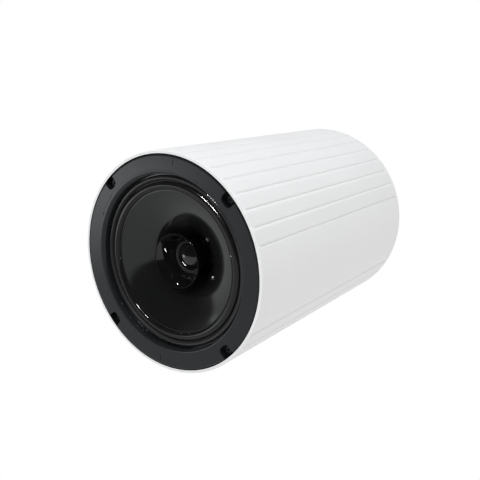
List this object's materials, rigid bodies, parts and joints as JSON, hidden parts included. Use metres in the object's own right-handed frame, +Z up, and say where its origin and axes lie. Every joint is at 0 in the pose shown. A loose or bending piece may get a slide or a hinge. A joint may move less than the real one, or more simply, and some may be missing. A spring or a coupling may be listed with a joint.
{
  "type": "pendant speaker",
  "caption": "Cylindrical pendant loudspeaker: a fluted white housing hung from an eye, with an open coaxial driver behind a black clamping ring in its lower end.",
  "frame": {"origin": "centre of the suspension eye's bore, above the top cap", "axes": "+Z up as it hangs, along the housing's axis away from the driver; +Y along the eye's bore; +X across"},
  "size_m": [0.2, 0.2, 0.3245],
  "materials": {
    "white_shell": "moulded white, fine satin texture",
    "black_ring": "moulded black, satin",
    "cone_plastic": "black polypropylene, glossy",
    "surround_rubber": "black rubber, satin",
    "gasket_foam": "black foam, matt",
    "tweeter_gloss": "black, polished",
    "dome_film": "black coated film, polished",
    "dome_cloth": "doped black cloth",
    "black_steel": "black coated steel",
    "zinc_steel": "bright zinc plate",
    "post_alloy": "turned",
    "ferrite": "dark sintered",
    "copper": "enamelled copper",
    "eyelet_metal": "tinned, satin",
    "lead_sleeve": "black wire cover",
    "former_paper": "black coil paper",
    "spider_cloth": "resin-treated cloth",
    "board_fibre": "green fibre board",
    "strip_fibre": "brown pressed fibre",
    "component_case": "moulded case",
    "resistor_body": "pale fired clay",
    "gland_nylon": "black nylon",
    "lining_felt": "grey fibre felt"
  },
  "bodies": {
    "enclosure": {"housing": "white_shell", "top_cap": "white_shell", "front_ring": "black_ring", "surround": "surround_rubber", "surround_gasket": "gasket_foam", "driver_gasket": "gasket_foam", "cap_gasket": "gasket_foam", "gland_seal": "gasket_foam", "tweeter_housing": "tweeter_gloss", "tweeter_suspension": "dome_cloth", "basket": "black_steel", "ring_screws": "black_steel", "top_plate": "zinc_steel", "yoke": "zinc_steel", "post_nut": "zinc_steel", "tweeter_yoke": "zinc_steel", "tweeter_pole_plate": "zinc_steel", "eye_bolt": "zinc_steel", "eye_washer": "zinc_steel", "eye_nut": "zinc_steel", "cap_screws": "zinc_steel", "board_screws": "zinc_steel", "tweeter_post": "post_alloy", "magnet": "ferrite", "tweeter_magnet": "ferrite", "inductor": "copper", "driver_leads": "lead_sleeve", "spider": "spider_cloth", "crossover_board": "board_fibre", "terminal_strip": "strip_fibre", "capacitor": "component_case", "input_terminal_block": "component_case", "resistor": "resistor_body", "cable_gland": "gland_nylon", "gland_nut": "gland_nylon", "damping_lining": "lining_felt"},
    "cone_assembly": {"cone": "cone_plastic", "coil_former": "former_paper", "voice_coil": "copper", "lead_eyelets": "eyelet_metal", "coil_leads": "copper"},
    "dome_assembly": {"tweeter_dome": "dome_film", "tweeter_coil": "copper"}
  },
  "joints": [
    {"name": "cone_travel", "type": "slide", "parent": "enclosure", "child": "cone_assembly", "axis": [0, 0, 1], "range_m": [-0.003, 0.003], "stiffness_N_per_m": 1500, "deforming": ["surround", "spider"]},
    {"name": "tweeter_dome_travel", "type": "slide", "parent": "enclosure", "child": "dome_assembly", "axis": [0, 0, 1], "range_m": [-0.0003, 0.0003], "stiffness_N_per_m": 400, "deforming": ["tweeter_suspension"]}
  ]
}
